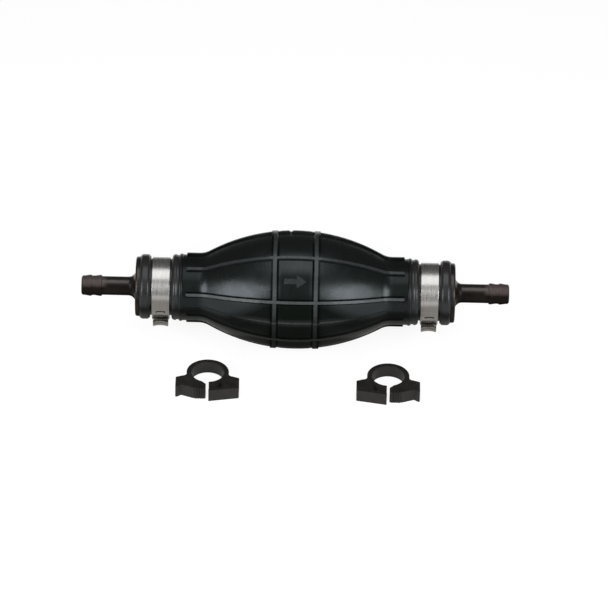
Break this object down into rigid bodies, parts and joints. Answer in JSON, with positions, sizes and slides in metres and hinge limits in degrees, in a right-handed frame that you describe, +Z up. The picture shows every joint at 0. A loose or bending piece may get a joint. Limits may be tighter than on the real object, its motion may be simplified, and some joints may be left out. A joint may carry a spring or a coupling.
{
  "type": "siphon bulb pump",
  "caption": "Hand-squeezed ribbed rubber primer bulb with a barbed check-valve fitting and a steel ear clamp at each end, and loose plastic ratchet clips for its hoses.",
  "frame": {"origin": "on the surface that the set lies on, below the middle of its bounding box", "axes": "+X along the flow, from the inlet to the outlet; +Z up; the loose clips lie on the -Y side"},
  "size_m": [0.2136, 0.0852, 0.0587],
  "materials": {
    "bulb_rubber": "satin moulded rubber, faint powdery bloom",
    "fitting_plastic": "satin moulded black plastic",
    "clamp_steel": "rolled stainless strip, fine lengthwise grain",
    "valve_plastic": "natural acetal",
    "seal_rubber": "smooth nitrile rubber",
    "spring_steel": "drawn stainless wire",
    "clip_plastic": "matte moulded black nylon"
  },
  "bodies": {
    "pump": {"bulb": "bulb_rubber", "inlet_fitting": "fitting_plastic", "outlet_fitting": "fitting_plastic", "inlet_neck_clamp": "clamp_steel", "outlet_neck_clamp": "clamp_steel", "inlet_valve_seat": "valve_plastic", "outlet_valve_seat": "valve_plastic", "inlet_seat_oring": "seal_rubber", "outlet_seat_oring": "seal_rubber", "inlet_valve_spring": "spring_steel", "outlet_valve_spring": "spring_steel", "inlet_valve_cage": "valve_plastic", "outlet_valve_cage": "valve_plastic"},
    "inlet_valve": {"inlet_poppet": "valve_plastic", "inlet_poppet_seal": "seal_rubber"},
    "outlet_valve": {"outlet_poppet": "valve_plastic", "outlet_poppet_seal": "seal_rubber"},
    "left_clip": {"left_hose_clip": "clip_plastic"},
    "right_clip": {"right_hose_clip": "clip_plastic"}
  },
  "joints": [
    {"name": "inlet_valve_lift", "type": "slide", "parent": "pump", "child": "inlet_valve", "axis": [1, 0, 0], "range_m": [0, 0.002], "stiffness_N_per_m": 20, "springref_m": -0.001, "deforming": ["inlet_valve_spring"]},
    {"name": "outlet_valve_lift", "type": "slide", "parent": "pump", "child": "outlet_valve", "axis": [1, 0, 0], "range_m": [0, 0.002], "stiffness_N_per_m": 20, "springref_m": -0.001, "deforming": ["outlet_valve_spring"]},
    {"name": "left_clip_lift", "type": "slide", "parent": "pump", "child": "left_clip", "axis": [0, 0, 1], "range_m": [0, 0.07]},
    {"name": "right_clip_lift", "type": "slide", "parent": "pump", "child": "right_clip", "axis": [0, 0, 1], "range_m": [0, 0.07]}
  ]
}
